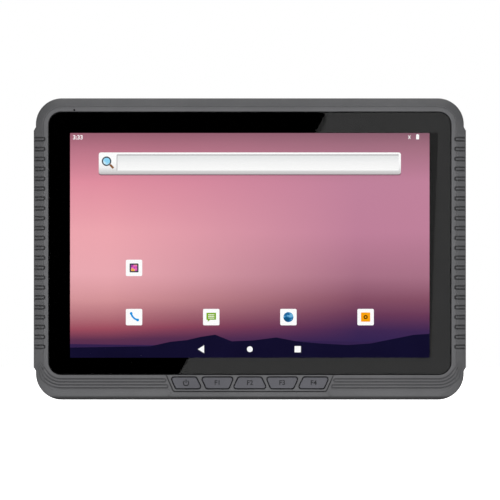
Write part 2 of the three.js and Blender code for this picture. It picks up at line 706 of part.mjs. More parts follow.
function doorSeal() {
  const outer = roundedRect(BAY_X[0] + 1.5, DOOR_FRONT_Y + 1, BAY_X[1] - 1.5, 4.6, 1.5);
  const inner = roundedRect(BAY_X[0] + 2.7, DOOR_FRONT_Y + 2.2, BAY_X[1] - 2.7, 3.4, 0.3);
  const z = [HEIGHT - DOOR_THICKNESS - 0.8, HEIGHT - DOOR_THICKNESS - 0.2];
  return sweepUp(outer, z).subtract(sweepUp(inner, [z[0] - 1, z[1] + 1]));
}

addPiece('port_door', portDoor(), 'housing');
addPiece('port_door_seal', doorSeal(), 'rubber');
addPiece('port_door_pin', rod(HINGE.pin, [BAY_X[0] - 3, BAY_X[1] + 3], HINGE.y, HINGE.z, 8), 'steel');

export default tablet;
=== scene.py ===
"""Looks of a rugged ten-inch tablet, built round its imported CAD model.

Shapes are written in millimetres in the model's frame: X right, Y away from the user, Z up from the
bottom edge. They become metres as each mesh is made.
"""
import json
import math

import bmesh
import bpy
from mathutils import Matrix, Vector


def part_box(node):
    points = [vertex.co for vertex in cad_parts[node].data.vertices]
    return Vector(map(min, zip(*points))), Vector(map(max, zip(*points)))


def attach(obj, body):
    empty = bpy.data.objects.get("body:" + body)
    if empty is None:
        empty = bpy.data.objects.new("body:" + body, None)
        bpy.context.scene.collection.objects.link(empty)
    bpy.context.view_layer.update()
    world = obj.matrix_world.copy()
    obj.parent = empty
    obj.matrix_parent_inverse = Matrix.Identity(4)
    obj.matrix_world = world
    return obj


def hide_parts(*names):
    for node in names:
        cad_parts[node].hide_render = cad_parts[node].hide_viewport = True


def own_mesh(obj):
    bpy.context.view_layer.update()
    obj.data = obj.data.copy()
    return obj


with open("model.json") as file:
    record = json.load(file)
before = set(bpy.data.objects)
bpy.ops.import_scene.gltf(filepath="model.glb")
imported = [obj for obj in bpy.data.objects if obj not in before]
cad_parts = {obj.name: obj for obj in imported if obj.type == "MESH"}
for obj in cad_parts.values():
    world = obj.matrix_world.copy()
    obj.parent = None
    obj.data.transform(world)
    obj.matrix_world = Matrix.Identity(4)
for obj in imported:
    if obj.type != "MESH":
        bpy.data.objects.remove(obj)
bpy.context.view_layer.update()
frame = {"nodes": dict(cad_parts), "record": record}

MM = 0.001
SCENE = bpy.context.scene

# Sizes that the pieces below share, in millimetres
HEIGHT = 182.1
MID_Z = HEIGHT / 2
FRONT_Y = -12.5
PARTING_Y = -4.05
SEAL_TOP_Y = -3.6
CORNER_STEPS = 14
CORNER_RADIUS = 15.7
HALF_WIDTH = 129.3
BULGE = 1.28  # how far the side grips stand out
BULGE_BACK = 1.45  # how far their bevel lies back
GRIP_HALF = 71.5
GRIP_RUNOUT = 2.2
GLASS = dict(half=121.4, low=MID_Z - 75.7, high=MID_Z + 82.7, radius=7.5)
DISPLAY_HALF = (108.48, 67.8)
DISPLAY_Z = MID_Z + 2.2
KEY_TOP = MID_Z - 77.15
KEY_BOTTOM = MID_Z - 84.47
MICROPHONE = (-105.95, MID_Z + 83.9)
CUT_FRONT = -14  # where a cutter through the bezel starts and ends
CUT_BACK = -8


# ------------------------------------------------------------------ materials

def srgb(code):
    """Linear colour of a hexadecimal sRGB code."""
    channels = [int(code[i:i + 2], 16) / 255 for i in (0, 2, 4)]
    return tuple(c / 12.92 if c <= 0.04045 else ((c + 0.055) / 1.055) ** 2.4 for c in channels)


# The sockets of a Mix node that carry colours
MIX_FIRST = 6
MIX_SECOND = 7
MIX_RESULT = 2


class Paint:
    """A node material under construction, with its Principled shader at hand."""

    def __init__(self, name):
        self.material = bpy.data.materials.new(name)
        self.material.use_nodes = True
        self.tree = self.material.node_tree
        self.shader = self.tree.nodes["Principled BSDF"]
        self.coordinates = self.tree.nodes.new("ShaderNodeTexCoord").outputs["Object"]

    def node(self, kind, inputs=(), **settings):
        node = self.tree.nodes.new(kind)
        for key, value in settings.items():
            setattr(node, key, value)
        for key, value in dict(inputs).items():
            if isinstance(value, bpy.types.NodeSocket):
                self.tree.links.new(value, node.inputs[key])
            else:
                node.inputs[key].default_value = value
        return node

    def set(self, **values):
        for key, value in values.items():
            socket = self.shader.inputs[key.replace("_", " ")]
            if isinstance(value, bpy.types.NodeSocket):
                self.tree.links.new(value, socket)
            else:
                socket.default_value = value
        return self

    def noise(self, size_mm, detail=2.0, stretch=(1, 1, 1)):
        """Noise whose features are about size_mm across."""
        mapping = self.node("ShaderNodeMapping", {"Vector": self.coordinates, "Scale": stretch})
        inputs = {"Vector": mapping.outputs["Vector"], "Scale": 1 / (size_mm * MM), "Detail": detail}
        return self.node("ShaderNodeTexNoise", inputs).outputs["Fac"]

    def ramp(self, factor, stops):
        """A colour ramp through (position, colour) stops."""
        node = self.node("ShaderNodeValToRGB", {"Fac": factor})
        elements = node.color_ramp.elements
        while len(elements) < len(stops):
            elements.new(0.5)
        for element, (position, colour) in zip(elements, stops):
            element.position = position
            element.color = (*colour, 1)
        return node.outputs["Color"]

    def range(self, factor, low, high, start=0.0, end=1.0):
        inputs = {"Value": factor, "From Min": start, "From Max": end, "To Min": low, "To Max": high}
        return self.node("ShaderNodeMapRange", inputs).outputs["Result"]

    def mix(self, factor, first, second, blend="MIX"):
        """Two colours mixed by a factor, or one laid on the other by a blend type."""
        inputs = {"Factor": factor, MIX_FIRST: first, MIX_SECOND: second}
        return self.node("ShaderNodeMix", inputs, data_type="RGBA", blend_type=blend).outputs[MIX_RESULT]

    def times(self, colour, shade):
        return self.mix(1.0, colour, shade, "MULTIPLY")

    def axes(self):
        return self.node("ShaderNodeSeparateXYZ", {"Vector": self.coordinates}).outputs

    def bump(self, height, depth_mm, strength=1.0):
        inputs = {"Height": height, "Distance": depth_mm * MM, "Strength": strength}
        return self.node("ShaderNodeBump", inputs).outputs["Normal"]


def tones(colour, spread):
    """Stops of a grain between a darker and a lighter tone of a colour."""
    dark = tuple(c * (1 - spread) for c in colour)
    light = tuple(c * (1 + spread) for c in colour)
    return [(0.3, dark), (0.7, light)]


def moulded_plastic(name, colour, roughness=0.62, grain_mm=0.3, depth_mm=0.025, crevice_shade=0.28):
    """Spark-eroded plastic: fine grain, cloudy tone, and painted shade that darkens its corners, grooves and
    gaps by ambient occlusion.
    """
    paint = Paint(name)
    cloud = paint.ramp(paint.noise(26, 3), tones(colour, 0.07))
    grain = paint.noise(grain_mm, 3)
    speckle = paint.ramp(grain, [(0.25, (0.86,) * 3), (0.75, (1.12,) * 3)])
    # Painted shade: ambient occlusion pulls the colour down towards the crevice grey in corners, slots and
    # gaps.
    occlusion = paint.node("ShaderNodeAmbientOcclusion", {"Distance": 2.6 * MM}, samples=8)
    shade = paint.ramp(occlusion.outputs["AO"], [(0.4, (crevice_shade,) * 3), (0.95, (1.0,) * 3)])
    paint.set(Base_Color=paint.times(paint.times(cloud, speckle), shade))
    paint.set(Roughness=paint.range(paint.noise(9, 2), roughness - 0.06, roughness + 0.06))
    return paint.set(Normal=paint.bump(grain, depth_mm)).material


def rubber(name, colour):
    paint = Paint(name)
    grain = paint.noise(0.5, 4)
    paint.set(Base_Color=paint.ramp(paint.noise(8, 3), tones(colour, 0.12)))
    paint.set(Roughness=paint.range(grain, 0.7, 0.85))
    return paint.set(Normal=paint.bump(grain, 0.02)).material


def metal(name, colour, roughness=0.32, stretch=(1, 1, 14), metallic=1.0):
    """Drawn or turned metal with fine brushed lines."""
    paint = Paint(name)
    lines = paint.noise(0.9, 4, stretch)
    paint.set(Base_Color=paint.ramp(paint.noise(5, 3), tones(colour, 0.1)), Metallic=metallic)
    paint.set(Roughness=paint.range(lines, roughness - 0.08, roughness + 0.1))
    return paint.set(Normal=paint.bump(lines, 0.006)).material


def circuit_board(name):
    """Solder mask over a faint maze of tracks."""
    paint = Paint(name)
    cells = paint.node("ShaderNodeTexVoronoi", {"Vector": paint.coordinates, "Scale": 420.0},
                       distance="MANHATTAN")
    tracks = paint.ramp(cells.outputs["Distance"], [(0.35, srgb("0d4a26")), (0.5, srgb("1b6b3a"))])
    paint.set(Base_Color=tracks, Roughness=paint.range(paint.noise(6), 0.35, 0.5))
    return paint.set(Normal=paint.bump(cells.outputs["Distance"], 0.02)).material


def cover_glass_material():
    paint = Paint("cover_glass")
    tint = paint.ramp(paint.noise(60, 2), [(0.3, (0.985, 0.99, 0.99)), (0.7, (1, 1, 1))])
    paint.set(Base_Color=tint, Transmission_Weight=1.0, IOR=1.5)
    return paint.set(Roughness=paint.range(paint.noise(35, 3), 0.0, 0.012)).material


def border_ink_material():
    paint = Paint("border_ink")
    tone = paint.ramp(paint.noise(4, 2), [(0.3, (0.0004,) * 3), (0.7, (0.0009,) * 3)])
    paint.set(Base_Color=tone, Specular_IOR_Level=0.0)
    return paint.set(Roughness=paint.range(paint.noise(2), 0.75, 0.9)).material


BACKLIGHT = 1.09  # makes up for what the cover glass takes


def glowing(paint, colour):
    """Makes a paint shine with a colour and take no other light."""
    paint.set(Base_Color=(0, 0, 0, 1), Roughness=paint.range(paint.noise(3), 0.45, 0.55))
    paint.set(Emission_Color=colour, Emission_Strength=BACKLIGHT, Specular_IOR_Level=0.0)
    return paint.material


def lit(name, stops, size_mm=20.0, levels=None):
    """A patch of lit display whose colour drifts between stops, or climbs through them over levels in Z."""
    paint = Paint(name)
    if levels:
        low, high = [(DISPLAY_Z + z) * MM for z in levels]
        factor = paint.range(paint.axes()["Z"], 0, 1, low, high)
    else:
        factor = paint.noise(size_mm, 2)
    return glowing(paint, paint.ramp(factor, stops))


def lit_plain(name, code, drift=0.03):
    return lit(name, tones(srgb(code), drift))


WARM_EDGE = -85
MAUVE_EDGE = 65


def sky_material():
    """Dusk sky: two vertical ramps, warm on the left and mauve on the right, with drifting haze."""
    paint = Paint("dusk_sky")
    axes = paint.axes()
    low = (DISPLAY_Z - DISPLAY_HALF[1]) * MM
    high = (DISPLAY_Z + DISPLAY_HALF[1]) * MM
    haze = paint.range(paint.noise(90, 2, (0.5, 1, 3)), -0.025, 0.025)
    level = paint.node("ShaderNodeMath", {0: paint.range(axes["Z"], 0, 1, low, high), 1: haze}).outputs[0]
    left = paint.ramp(level, [
        (0.03, srgb("4a2850")), (0.08, srgb("5e324f")), (0.13, srgb("9c4d5e")), (0.19, srgb("b5737c")),
        (0.26, srgb("d39398")), (0.37, srgb("e9a8b0")), (0.56, srgb("eda6af")), (0.78, srgb("e08fa0")),
        (0.93, srgb("b87486")), (1.0, srgb("9a6171"))])
    right = paint.ramp(level, [
        (0.05, srgb("2c2250")), (0.12, srgb("3f2852")), (0.19, srgb("693a58")), (0.26, srgb("855065")),
        (0.37, srgb("a87186")), (0.56, srgb("bf819a")), (0.78, srgb("c0829b")), (0.93, srgb("a47082")),
        (1.0, srgb("8a5f6e"))])
    across = paint.range(axes["X"], 0, 1, WARM_EDGE * MM, MAUVE_EDGE * MM)
    return glowing(paint, paint.mix(across, left, right))


HOUSING = moulded_plastic("housing_plastic", (0.069, 0.069, 0.072))
KEY = moulded_plastic("key_plastic", (0.062, 0.062, 0.070), roughness=0.55, grain_mm=0.4, crevice_shade=0.5)
LEGEND = moulded_plastic("legend_ink", (0.012, 0.012, 0.013), roughness=0.6, grain_mm=0.5, crevice_shade=0.9)
BATTERY = moulded_plastic("battery_plastic", (0.05, 0.05, 0.053), roughness=0.58, grain_mm=0.45)
LATCH = moulded_plastic("latch_plastic", (0.028, 0.028, 0.03), roughness=0.45, grain_mm=0.7, depth_mm=0.01)
BLACK_PLASTIC = moulded_plastic("black_plastic", (0.02, 0.02, 0.022), roughness=0.5, grain_mm=0.6)
FINISHES = {
    "housing": HOUSING,
    "key": KEY,
    "battery_case": BATTERY,
    "latch": LATCH,
    "black_plastic": BLACK_PLASTIC,
    "rubber": rubber("black_silicone", (0.02, 0.02, 0.021)),
    "glass": cover_glass_material(),
    "display": sky_material(),
    "alloy": metal("cast_alloy", (0.5, 0.51, 0.53), 0.45, (1, 1, 1)),
    "steel": metal("sheet_steel", (0.5, 0.5, 0.52)),
    "screw": metal("blackened_steel", (0.09, 0.09, 0.095), 0.38),
    "brass": metal("knurled_brass", (0.66, 0.44, 0.16), 0.3),
    "circuit": circuit_board("solder_mask"),
    "flex": rubber("polyimide", (0.42, 0.17, 0.03)),
    "ceramic": rubber("fired_ceramic", (0.6, 0.55, 0.45)),
    "lens": metal("coated_window", (0.012, 0.014, 0.02), 0.12, (1, 1, 1), metallic=0.0),
    "diffuser": rubber("milky_diffuser", (0.75, 0.73, 0.66)),
}
INK = border_ink_material()
LIT_WHITE = lit_plain("lit_symbols", "fbfbfb", 0.01)


# ------------------------------------------------------------------ meshes

def link(obj):
    SCENE.collection.objects.link(obj)
    return obj


def mesh_object(name, verts, faces):
    """An object whose mesh is still in millimetres, with its faces turned outwards."""
    mesh = bpy.data.meshes.new(name)
    mesh.from_pydata([tuple(v) for v in verts], [], faces)
    work = bmesh.new()
    work.from_mesh(mesh)
    bmesh.ops.recalc_face_normals(work, faces=work.faces)
    work.to_mesh(mesh)
    work.free()
    return link(bpy.data.objects.new(name, mesh))


def combined(name, parts):
    """One object from several (vertices, faces) bodies."""
    verts, faces = [], []
    for part_verts, part_faces in parts:
        start = len(verts)
        verts += part_verts
        faces += [[start + i for i in face] for face in part_faces]
    return mesh_object(name, verts, faces)


def lofted(sections, closed=False):
    """A body through rings of equal length; closed joins the last ring to the first."""
    count = len(sections[0])
    verts = [point for ring in sections for point in ring]
    faces = []
    spans = len(sections) if closed else len(sections) - 1
    for s in range(spans):
        a, b = s * count, (s + 1) % len(sections) * count
        faces += [[a + i, a + (i + 1) % count, b + (i + 1) % count, b + i] for i in range(count)]
    if not closed:
        faces += [list(range(count)), list(range(len(verts) - count, len(verts)))]
    return verts, faces


def prism(outline, front_y, back_y):
    return lofted([[(x, y, z) for x, z in outline] for y in (front_y, back_y)])


def box(x, y, z):
    return prism([(x[0], z[0]), (x[1], z[0]), (x[1], z[1]), (x[0], z[1])], *y)


def arc(cx, cz, radius, start, end, steps):
    angles = [math.radians(start + (end - start) * i / steps) for i in range(steps + 1)]
    return [(cx + radius * math.cos(a), cz + radius * math.sin(a)) for a in angles]


def circle(cx, cz, radius, steps=32):
    return arc(cx, cz, radius, 0, 360, steps)[:-1]


def rounded_rect(x0, z0, x1, z1, radius, steps=8):
    return (arc(x1 - radius, z0 + radius, radius, -90, 0, steps)
            + arc(x1 - radius, z1 - radius, radius, 0, 90, steps)
            + arc(x0 + radius, z1 - radius, radius, 90, 180, steps)
            + arc(x0 + radius, z0 + radius, radius, 180, 270, steps))


def evaluated(obj):
    """A new mesh of the object as its modifiers or its curve make it."""
    graph = bpy.context.evaluated_depsgraph_get()
    return bpy.data.meshes.new_from_object(obj.evaluated_get(graph))


def boolean(obj, tool, operation):
    """Joins a tool to the object or cuts it out, and uses the tool up."""
    modifier = obj.modifiers.new(operation, "BOOLEAN")
    modifier.object = tool
    modifier.operation = operation
    modifier.solver = "EXACT"
    mesh = evaluated(obj)
    obj.modifiers.clear()
    obj.data = mesh
    bpy.data.objects.remove(tool)
    if not obj.data.vertices:
        raise RuntimeError(f"{operation} emptied {obj.name}")


def clean(obj, angle=1.0):
    """Merges doubled points and flat neighbouring faces."""
    work = bmesh.new()
    work.from_mesh(obj.data)
    bmesh.ops.remove_doubles(work, verts=work.verts, dist=0.002)
    bmesh.ops.dissolve_limit(work, angle_limit=math.radians(angle), verts=work.verts, edges=work.edges)
    work.to_mesh(obj.data)
    work.free()


def bevelled(obj, width_mm, segments=2, angle=30):
    obj.modifiers.clear()
    modifier = obj.modifiers.new("edge", "BEVEL")
    modifier.width = width_mm * MM
    modifier.segments = segments
    modifier.limit_method = "ANGLE"
    modifier.angle_limit = math.radians(angle)
    modifier.harden_normals = True


def finished(obj, body, slot, material=None, replaces=(), smooth=32):
    """Turns a millimetre mesh into metres, gives it its finish and lets it ride its body."""
    obj.data.transform(Matrix.Scale(MM, 4))
    dressed(obj, body, slot, material, replaces, smooth)


def dressed(obj, body, slot, material=None, replaces=(), smooth=32):
    """Gives an object its finish and lets it ride its body."""
    obj.data.materials.clear()
    obj.data.materials.append(material or FINISHES[slot])
    obj.data.shade_smooth()
    obj.data.set_sharp_from_angle(angle=math.radians(smooth))
    weighted = obj.modifiers.new("normals", "WEIGHTED_NORMAL")
    weighted.keep_sharp = True
    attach(obj, body)
    if replaces:
        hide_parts(*replaces)


def refined(node, body, slot, width_mm=0.3, segments=2, extra=()):
    """A CAD node's solid with rounded edges and any extra bodies joined on."""
    source = frame["nodes"][node]
    obj = link(bpy.data.objects.new(f"{node}_moulding", source.data.copy()))
    obj.data.transform(Matrix.Scale(1 / MM, 4))
    clean(obj)
    for index, part in enumerate(extra):
        boolean(obj, combined(f"{node}_extra_{index}", [part]), "UNION")
    finished(obj, body, slot, replaces=[node])
    bevelled(obj, width_mm, segments)


# ------------------------------------------------------------------ front bezel

def bezel_ring(half, low, high, radius, y, bottom_y=None, bulge=(0, 0)):
    """One ring round the bezel; bulge is how far the side grips stand out and lie back."""
    bottom_y = y if bottom_y is None else bottom_y
    out, back = bulge
    lowest, highest = low + radius - MID_Z, high - radius - MID_Z
    grip = [(0, 0, max(-GRIP_HALF - GRIP_RUNOUT, lowest + 0.5)), (out, back, max(-GRIP_HALF, lowest + 1)),
            (out, back, min(GRIP_HALF, highest - 1)), (0, 0, min(GRIP_HALF + GRIP_RUNOUT, highest - 0.5))]

    def corner(cx, cz, start):
        ring = []
        for i in range(CORNER_STEPS + 1):
            angle = math.radians(start + 90 * i / CORNER_STEPS)
            down = max(0.0, -math.sin(angle)) ** 2
            depth = y + (bottom_y - y) * down
            ring.append((cx + radius * math.cos(angle), depth, cz + radius * math.sin(angle)))
        return ring

    right = [(half + dx, y + dy, MID_Z + z) for dx, dy, z in grip]
    left = [(-half - dx, y + dy, MID_Z + z) for dx, dy, z in reversed(grip)]
    return (corner(half - radius, low + radius, -90) + right + corner(half - radius, high - radius, 0)
            + corner(radius - half, high - radius, 90) + left + corner(radius - half, low + radius, 180))


LEDGE_Y = -10.1
BEZEL_INSIDE_Y = -8.6


def seam_ring(inset, radius, y):
    """A ring that keeps its distance from the outline, where the bezel meets the rear cover."""
    return bezel_ring(HALF_WIDTH - inset, inset, HEIGHT - inset, radius, y, bulge=(BULGE, 0))


def bezel_body():
    """Rings from the ledge under the glass, over the front, round the lip on the seal and back inside."""
    return lofted([
        bezel_ring(116, 18.5, 168.5, 3, LEDGE_Y),
        bezel_ring(121.7, 15.05, 174.05, 7.8, LEDGE_Y),
        bezel_ring(121.7, 15.05, 174.05, 7.8, -12.35),
        bezel_ring(121.85, 14.9, 174.2, 7.95, FRONT_Y),
        bezel_ring(124.1, 6.8, 176.4, 10.7, FRONT_Y),
        bezel_ring(124.2, 6.3, 176.5, 10.8, FRONT_Y, -12.2),
        bezel_ring(124.3, 4.65, 176.6, 10.9, FRONT_Y, -12.42),
        bezel_ring(124.5, 4.6, 176.85, 11.1, -12.2, -12.41),
        bezel_ring(124.8, 4.55, 177.15, 11.4, -12.2, -12.4),
        bezel_ring(125.1, 4.5, 177.45, 11.7, -12.35, -12.38),
        bezel_ring(128.3, 1.0, 181.1, 14.8, -8.6, bulge=(BULGE, BULGE_BACK)),
        bezel_ring(128.9, 0.4, 181.7, 15.35, -7.5, bulge=(BULGE, BULGE_BACK - 0.1)),
        bezel_ring(129.2, 0.1, 182.0, 15.63, -6.5, bulge=(BULGE, BULGE_BACK - 0.2)),
        bezel_ring(HALF_WIDTH, 0, HEIGHT, CORNER_RADIUS, -5.6, bulge=(BULGE, BULGE_BACK - 0.5)),
        seam_ring(0, CORNER_RADIUS, PARTING_Y - 0.3),
        seam_ring(0.25, 15.5, PARTING_Y),
        seam_ring(1.4, 14.3, PARTING_Y),
        seam_ring(1.45, 14.25, SEAL_TOP_Y),
        seam_ring(2.2, 13.5, SEAL_TOP_Y),
        seam_ring(2.25, 13.45, PARTING_Y),
        bezel_ring(125.5, 3.6, 178.5, 12.1, PARTING_Y),
        bezel_ring(125.5, 3.6, 178.5, 12.1, BEZEL_INSIDE_Y),
        bezel_ring(116, 18.5, 168.5, 3, BEZEL_INSIDE_Y),
    ], closed=True)


SLOT_RADIUS = 1.45
SLOT_PAD = 0.6
SLOT_INNER_X = 123.3
SLOT_TOP = MID_Z + 66.3
SLOT_PITCH = 5.97
SLOTS = 22


def slot_cutter(side, z):
    """A slot with a raised pad in it, which runs down the bevel and out before the widest line."""
    sections = []
    for offset in (-SLOT_RADIUS, -1.36, -1.1, -0.75, -0.5, 0.5, 0.75, 1.1, 1.36, SLOT_RADIUS):
        start = SLOT_INNER_X + SLOT_RADIUS - math.sqrt(SLOT_RADIUS ** 2 - offset ** 2)
        lift = SLOT_PAD if abs(offset) < 0.6 else 0.0
        profile = [(start, CUT_FRONT), (start, -11.4), (start + 0.8, -11.3), (start + 1.0, -11.2 - lift),
                   (125.4, -10.9 - lift), (130.6, -4.7 - lift), (131.5, -4.5 - lift), (131.5, CUT_FRONT)]
        sections.append([(side * x, y, z + offset) for x, y in profile])
    return lofted(sections)


def face_depth(x, z):
    """How deep the bezel's front surface lies at a point near its lower corners."""
    cx, cz = HALF_WIDTH - CORNER_RADIUS, CORNER_RADIUS
    reach = abs(x) - cx if z > cz else math.hypot(max(0.0, abs(x) - cx), cz - z)
    grip = min(1.0, max(0.0, (z - MID_Z + GRIP_HALF + GRIP_RUNOUT) / GRIP_RUNOUT))
    slope = max(0.0, reach - 11.5) / (3.35 + BULGE * grip)
    on_bevel = abs(x) > cx and reach > 11.0
    return FRONT_Y + 0.12 + (3.9 + BULGE_BACK * grip) * slope if on_bevel else FRONT_Y + 0.05


def ribbon(path, width, depth, tapered_steps=0):
    """A channel cutter that follows a path over the bezel's face and may narrow towards its ends."""
    sections = []
    for i, (x, z) in enumerate(path):
        steps_in = min(i, len(path) - 1 - i)
        fade = 1.0 if steps_in >= tapered_steps else 0.3 + 0.7 * steps_in / tapered_steps
        before, after = path[max(0, i - 1)], path[min(len(path) - 1, i + 1)]
        run = (after[0] - before[0], after[1] - before[1])
        reach = width * fade / 2 / math.hypot(*run)
        left = (x - run[1] * reach, z + run[0] * reach)
        right = (x + run[1] * reach, z - run[0] * reach)
        corners = [(left, -1.5), (right, -1.5), (right, depth * fade), (left, depth * fade)]
        sections.append([(px, face_depth(px, pz) + y, pz) for (px, pz), y in corners])
    return lofted(sections)


GROOVE_Z = [MID_Z - z for z in (78.4, 80.2, 82.0, 83.8)]
GROOVE_WIDTH = 0.8
GROOVE_ARC_CENTRE = (113.9, GLASS["low"] + GLASS["radius"])
GROOVE_ENDS = [(126.6, 23.2), (127.2, 22.6), (127.8, 22.0), (128.3, 21.4)]
GROOVE_INNER_X = (51.6, 50.4)


def groove_side(side, z, end, inner_x):
    """One groove from beside the keys, round the corner under the glass and up the bezel's side."""
    cx, cz = GROOVE_ARC_CENTRE
    radius = cz - z
    curve = arc(cx, cz, radius, -90, -38, 10)
    start_x, start_z = curve[-1]
    run_x, run_z = end[0] - start_x, end[1] - start_z
    path = [(inner_x, z), (80, z)] + curve
    path += [(start_x + run_x * share, start_z + run_z * share) for share in (0.33, 0.66, 1)]
    return [(side * x, height) for x, height in path]


def grooves():
    """Four grooves a side, joined in pairs by a round turn beside the keys."""
    cutters = []
    for side in (-1, 1):
        for pair, inner_x in enumerate(GROOVE_INNER_X):
            upper, lower = GROOVE_Z[2 * pair], GROOVE_Z[2 * pair + 1]
            first = groove_side(side, upper, GROOVE_ENDS[2 * pair], inner_x)
            second = groove_side(side, lower, GROOVE_ENDS[2 * pair + 1], inner_x)
            middle, radius = (upper + lower) / 2, (upper - lower) / 2
            turn = [(side * x, z) for x, z in arc(inner_x, middle, radius, 90, 270, 8)[1:-1]]
            cutters.append(ribbon(first[::-1] + turn + second, GROOVE_WIDTH, 0.42, 4))
    return cutters


KEY_EDGES = {  # top left, top right, bottom left, bottom right
    "power_key": (-48.1, -32.3, -44.9, -28.7),
    "f1_key": (-29.7, -9.47, -26.4, -12.5),
    "f2_key": (-7.02, 7.02, -10.56, 10.56),
    "f3_key": (9.47, 29.7, 12.5, 26.4),
    "f4_key": (32.3, 48.1, 28.7, 44.9),
}


def rounded_polygon(points, radius, steps=6):
    """A convex polygon with its corners rounded by true arcs."""
    outline = []
    for i, (x, z) in enumerate(points):
        towards = []
        for other in (points[i - 1], points[(i + 1) % len(points)]):
            length = math.hypot(other[0] - x, other[1] - z)
            towards.append(((other[0] - x) / length, (other[1] - z) / length))
        (ax, az), (bx, bz) = towards
        half_angle = math.acos(ax * bx + az * bz) / 2
        middle = math.hypot(ax + bx, az + bz)
        cx = x + (ax + bx) / middle * radius / math.sin(half_angle)
        cz = z + (az + bz) / middle * radius / math.sin(half_angle)
        back = radius / math.tan(half_angle)
        first = math.atan2(z + az * back - cz, x + ax * back - cx)
        last = math.atan2(z + bz * back - cz, x + bx * back - cx)
        sweep = (last - first + math.pi) % math.tau - math.pi
        angles = [first + sweep * step / steps for step in range(steps + 1)]
        outline += [(cx + radius * math.cos(a), cz + radius * math.sin(a)) for a in angles]
    return outline


def key_outline(name, grow):
    """A key's outline, moved outwards from the middle of the gap round it."""
    top_left, top_right, bottom_left, bottom_right = KEY_EDGES[name]
    height = KEY_TOP - KEY_BOTTOM
    lean_left, lean_right = (top_left - bottom_left) / height, (top_right - bottom_right) / height
    left, right = grow * math.hypot(1, lean_left), grow * math.hypot(1, lean_right)
    low, high = KEY_BOTTOM - grow, KEY_TOP + grow
    corners = [
        (bottom_left - left - lean_left * grow, low), (bottom_right + right - lean_right * grow, low),
        (top_right + right + lean_right * grow, high), (top_left - left + lean_left * grow, high)]
    return rounded_polygon(corners, 1.5 + grow)


def key_block():
    """The raised block round the keys, which stands out over the lower bevel."""
    front = rounded_polygon([(-46.9, 3.5), (46.9, 3.5), (50.4, 9.5), (-50.4, 9.5)], 1.6)
    back = rounded_polygon([(-48.4, 1.7), (48.4, 1.7), (52.5, 9.5), (-52.5, 9.5)], 2.2)
    return lofted([[(x, FRONT_Y, z) for x, z in front], [(x, -10.6, z) for x, z in back],
                   [(x, -9.6, z) for x, z in back]])


def key_surround():
    """The open-topped groove round the row of keys."""
    top, bottom = GLASS["low"] + 0.5, 5.0
    corner = rounded_polygon([(-46.1, bottom), (46.1, bottom), (50.9, top), (-50.9, top)], 1.5)
    lower_half = corner[:len(corner) // 2]
    path = [(-50.9, top)] + lower_half + [(50.9, top)]
    return ribbon(path, 0.7, 0.8)


def front_bezel():
    obj = combined("front_bezel_moulding", [bezel_body()])
    boolean(obj, combined("block", [key_block()]), "UNION")
    slots = [slot_cutter(side, SLOT_TOP - i * SLOT_PITCH) for side in (-1, 1) for i in range(SLOTS)]
    boolean(obj, combined("slots", slots), "DIFFERENCE")
    boolean(obj, combined("grooves", grooves() + [key_surround()]), "DIFFERENCE")
    openings = [prism(key_outline(name, 0.3), CUT_FRONT, CUT_BACK) for name in KEY_EDGES]
    openings.append(prism(circle(*MICROPHONE, 0.65, 20), CUT_FRONT, CUT_BACK))
    boolean(obj, combined("openings", openings), "DIFFERENCE")
    clean(obj, 0.4)
    finished(obj, "tablet", "housing", replaces=["front_bezel"], smooth=28)
    bevelled(obj, 0.12, 2, 34)


# ------------------------------------------------------------------ glass and display

def glass_outline(inset):
    half, low, high = GLASS["half"] - inset, GLASS["low"] + inset, GLASS["high"] - inset
    return rounded_rect(-half, low, half, high, GLASS["radius"] - inset, 12)


def cover_glass():
    rings = [(0.3, -11.1), (0.0, -11.35), (0.0, -12.0), (0.1, -12.22), (0.35, -12.3)]
    pane = lofted([[(x, y, z) for x, z in glass_outline(inset)] for inset, y in rings])
    obj = combined("cover_glass_pane", [pane])
    finished(obj, "tablet", "glass", replaces=["cover_glass"], smooth=40)


def border_ink():
    """The black print behind the glass, open over the lit area."""
    outer = rounded_rect(-120.9, GLASS["low"] + 0.5, 120.9, GLASS["high"] - 0.5, 7, 8)
    width, height = DISPLAY_HALF
    inner = rounded_rect(-width, DISPLAY_Z - height, width, DISPLAY_Z + height, 0.3, 8)
    sections = [[(x, y, z) for x, z in outline]
                for outline, y in ((outer, -11.04), (outer, -10.98), (inner, -10.98), (inner, -11.04))]
    obj = combined("glass_border_print", [lofted(sections, closed=True)])
    finished(obj, "tablet", "black_plastic", INK)


SKY_FRONT_Y = -10.7
LAYER_STEP = 0.03


def on_display(x, z):
    """A place on the display, from its middle, in the model's frame."""
    return (x, DISPLAY_Z + z)


def shape_on_display(name, outlines, layer, material):
    """Thin lit shapes that lie a given number of layers in front of the sky."""
    front = SKY_FRONT_Y - 0.04 - LAYER_STEP * layer
    parts = [prism([on_display(x, z) for x, z in outline], front, front + 0.02) for outline in outlines]
    finished(combined(name, parts), "tablet", "display", material, smooth=30)


def band(outer, inner):
    """A closed ring between two outlines of equal length, as quads."""
    count = len(outer)
    return [[outer[i], outer[(i + 1) % count], inner[(i + 1) % count], inner[i]] for i in range(count)]


def stroke(path, width):
    """The outline of a pen stroke along a path."""
    left, right = [], []
    for i, (x, z) in enumerate(path):
        before, after = path[max(0, i - 1)], path[min(len(path) - 1, i + 1)]
        run = (after[0] - before[0], after[1] - before[1])
        length = math.hypot(*run)
        aside = (-run[1] / length * width / 2, run[0] / length * width / 2)
        left.append((x + aside[0], z + aside[1]))
        right.append((x - aside[0], z - aside[1]))
    return left + right[::-1]


def moved(outline, x, z):
    return [(px + x, pz + z) for px, pz in outline]


